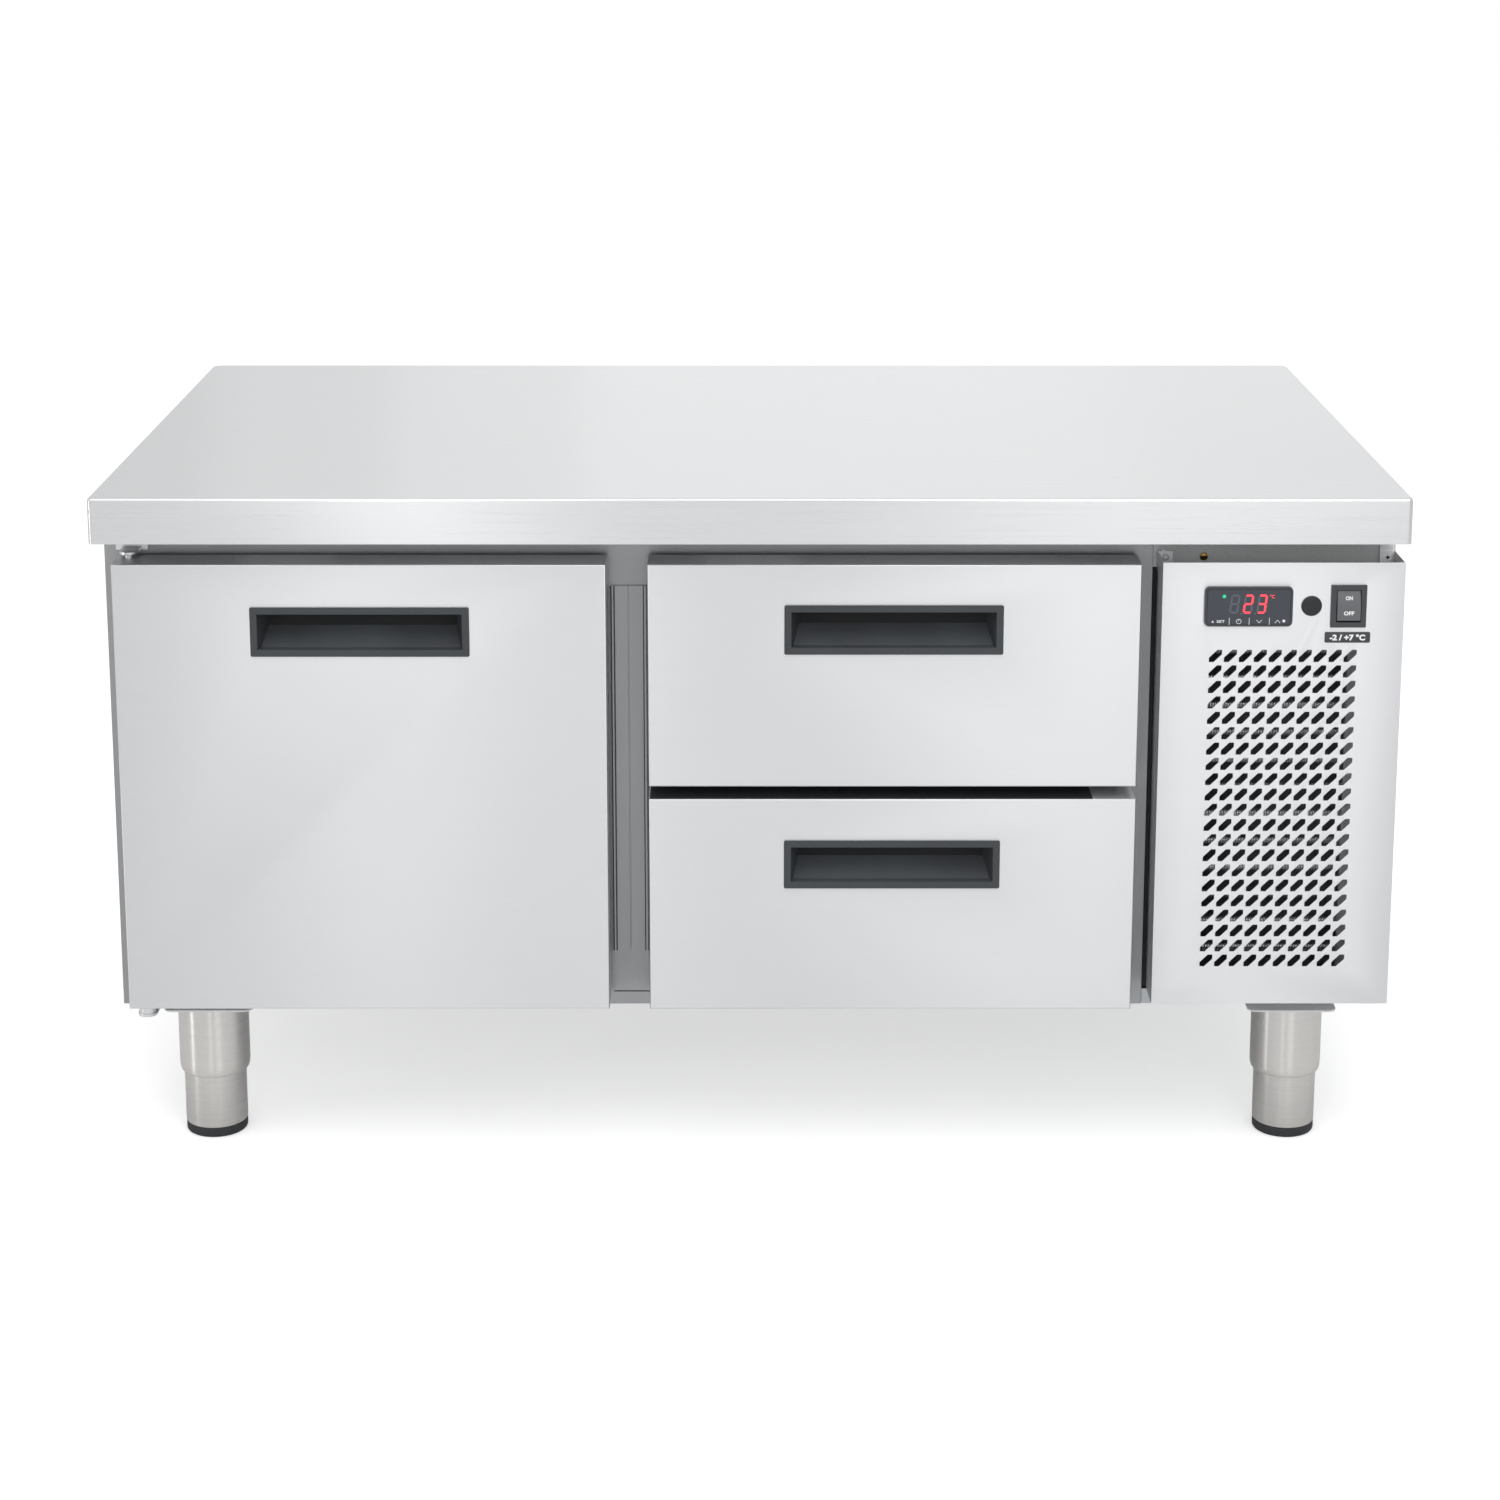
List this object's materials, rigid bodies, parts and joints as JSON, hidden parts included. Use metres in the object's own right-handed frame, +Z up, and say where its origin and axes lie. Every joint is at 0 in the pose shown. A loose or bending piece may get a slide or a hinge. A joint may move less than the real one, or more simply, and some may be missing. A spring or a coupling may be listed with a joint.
{
  "type": "refrigerated chef base",
  "caption": "Low refrigerated base with one hinged door, two pan drawers, a slotted machine compartment and a plain worktop on levelling feet.",
  "frame": {"origin": "on the floor, under the middle of the worktop", "axes": "+X to the right seen from the front, +Y to the back, +Z up"},
  "size_m": [1.2, 0.7, 0.64],
  "materials": {
    "worktop_steel": "fine brushed stainless sheet",
    "front_steel": "satin stainless sheet",
    "frame_steel": "satin stainless sheet in shade",
    "liner_steel": "satin stainless sheet",
    "filled_panel": null,
    "foam": "rigid foam",
    "gasket_rubber": "matt",
    "handle_plastic": "moulded, fine texture",
    "control_plastic": "moulded",
    "window_plastic": "gloss",
    "box_plastic": "moulded",
    "galvanised": "galvanised sheet",
    "fin_aluminium": "mill finish",
    "black_paint": "satin black",
    "copper_tube": "drawn copper tube",
    "wire_steel": "bright wire",
    "foot_steel": "brushed tube"
  },
  "bodies": {
    "cabinet": {"worktop": "worktop_steel", "outer_casing": "front_steel", "insulation": "foam", "inner_liner": "liner_steel", "front_frame": "frame_steel", "mullion_cover": "frame_steel", "wire_shelf": "wire_steel", "hinge_bracket_top": "front_steel", "hinge_bracket_bottom": "front_steel", "slide_rack_left": "galvanised", "slide_rack_right": "galvanised", "evaporator_cover": "liner_steel", "evaporator_coil": "fin_aluminium", "evaporator_fan_motor": "black_paint", "machine_base": "galvanised", "machine_side_panel": "front_steel", "machine_back_panel": "front_steel", "machine_top_rail": "frame_steel", "machine_front_panel": "front_steel", "controller_housing": "control_plastic", "controller_window": "window_plastic", "switch_frame": "control_plastic", "condenser": "fin_aluminium", "condenser_shroud": "black_paint", "condenser_fan_motor": "black_paint", "compressor": "black_paint", "discharge_line": "copper_tube", "liquid_line": "copper_tube", "suction_line": "control_plastic", "electrical_box": "box_plastic", "foot_sleeve_front_left": "foot_steel", "foot_sleeve_front_right": "foot_steel", "foot_sleeve_rear_left": "foot_steel", "foot_sleeve_rear_right": "foot_steel"},
    "door": {"door_handle": "handle_plastic", "door_skin": "front_steel", "door_inner_panel": "filled_panel", "door_gasket": "gasket_rubber"},
    "upper_drawer": {"upper_drawer_handle": "handle_plastic", "upper_drawer_skin": "front_steel", "upper_drawer_inner_panel": "filled_panel", "upper_drawer_gasket": "gasket_rubber", "upper_drawer_frame": "liner_steel"},
    "lower_drawer": {"lower_drawer_handle": "handle_plastic", "lower_drawer_skin": "front_steel", "lower_drawer_inner_panel": "filled_panel", "lower_drawer_gasket": "gasket_rubber", "lower_drawer_frame": "liner_steel"},
    "upper_slide_middle": {"upper_slide_middle_left": "galvanised", "upper_slide_middle_right": "galvanised"},
    "lower_slide_middle": {"lower_slide_middle_left": "galvanised", "lower_slide_middle_right": "galvanised"},
    "rocker": {"switch_rocker": "control_plastic"},
    "condenser_fan_rotor": {"condenser_fan": "fin_aluminium"},
    "evaporator_fan_rotor": {"evaporator_fan": "control_plastic"},
    "foot_front_left": {"foot_insert_front_left": "foot_steel"},
    "foot_front_right": {"foot_insert_front_right": "foot_steel"},
    "foot_rear_left": {"foot_insert_rear_left": "foot_steel"},
    "foot_rear_right": {"foot_insert_rear_right": "foot_steel"}
  },
  "joints": [
    {"name": "door_hinge", "type": "hinge", "parent": "cabinet", "child": "door", "pos_m": [-0.572, -0.305, 0.36], "axis": [0, 0, -1], "range_deg": [0, 100]},
    {"name": "upper_drawer_slide", "type": "slide", "parent": "cabinet", "child": "upper_drawer", "axis": [0, -1, 0], "range_m": [0, 0.48]},
    {"name": "upper_slide_travel", "type": "slide", "parent": "cabinet", "child": "upper_slide_middle", "axis": [0, -1, 0], "range_m": [0, 0.24]},
    {"name": "lower_drawer_slide", "type": "slide", "parent": "cabinet", "child": "lower_drawer", "axis": [0, -1, 0], "range_m": [0, 0.48]},
    {"name": "lower_slide_travel", "type": "slide", "parent": "cabinet", "child": "lower_slide_middle", "axis": [0, -1, 0], "range_m": [0, 0.24]},
    {"name": "rocker_tilt", "type": "hinge", "parent": "cabinet", "child": "rocker", "pos_m": [0.5475, -0.3315, 0.5364], "axis": [1, 0, 0], "range_deg": [0, 14]},
    {"name": "condenser_fan_spin", "type": "hinge", "parent": "cabinet", "child": "condenser_fan_rotor", "pos_m": [0.478, -0.1677, 0.3532], "axis": [0, 1, 0], "continuous": true},
    {"name": "evaporator_fan_spin", "type": "hinge", "parent": "cabinet", "child": "evaporator_fan_rotor", "pos_m": [-0.143, -0.087, 0.433], "axis": [1, 0, 0], "continuous": true},
    {"name": "foot_turn_front_left", "type": "hinge", "parent": "cabinet", "child": "foot_front_left", "pos_m": [-0.516, -0.27, 0.03], "axis": [0, 0, 1], "range_deg": [-360, 360]},
    {"name": "foot_turn_front_right", "type": "hinge", "parent": "cabinet", "child": "foot_front_right", "pos_m": [0.516, -0.27, 0.03], "axis": [0, 0, 1], "range_deg": [-360, 360]},
    {"name": "foot_turn_rear_left", "type": "hinge", "parent": "cabinet", "child": "foot_rear_left", "pos_m": [-0.516, 0.27, 0.03], "axis": [0, 0, 1], "range_deg": [-360, 360]},
    {"name": "foot_turn_rear_right", "type": "hinge", "parent": "cabinet", "child": "foot_rear_right", "pos_m": [0.516, 0.27, 0.03], "axis": [0, 0, 1], "range_deg": [-360, 360]}
  ],
  "couplings": [
    {"joint": "upper_slide_travel", "follows": "upper_drawer_slide", "ratio": 0.5},
    {"joint": "lower_slide_travel", "follows": "lower_drawer_slide", "ratio": 0.5}
  ]
}
